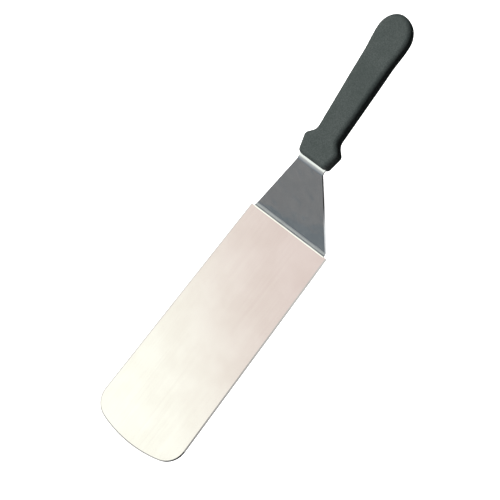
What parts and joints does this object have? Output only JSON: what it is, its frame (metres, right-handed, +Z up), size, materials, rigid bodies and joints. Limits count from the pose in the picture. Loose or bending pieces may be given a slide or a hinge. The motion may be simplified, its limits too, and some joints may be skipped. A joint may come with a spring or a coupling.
{
  "type": "offset spatula",
  "caption": "Long offset turner: a wide flat steel blade with rounded front corners, a raised tapered neck and a black moulded handle.",
  "frame": {"origin": "under the middle of the whole tool's bounding box, on the plane that the blade lies on", "axes": "+X from the blade's front edge to the handle's butt, +Z up out of the blade's upper face, +Y across the blade"},
  "size_m": [0.3796, 0.083, 0.0858],
  "materials": {
    "steel": "satin ground blade, polished neck",
    "grip": "fine moulded texture, black polypropylene"
  },
  "bodies": {
    "root": {"blade": "steel", "handle": "grip"}
  },
  "joints": []
}
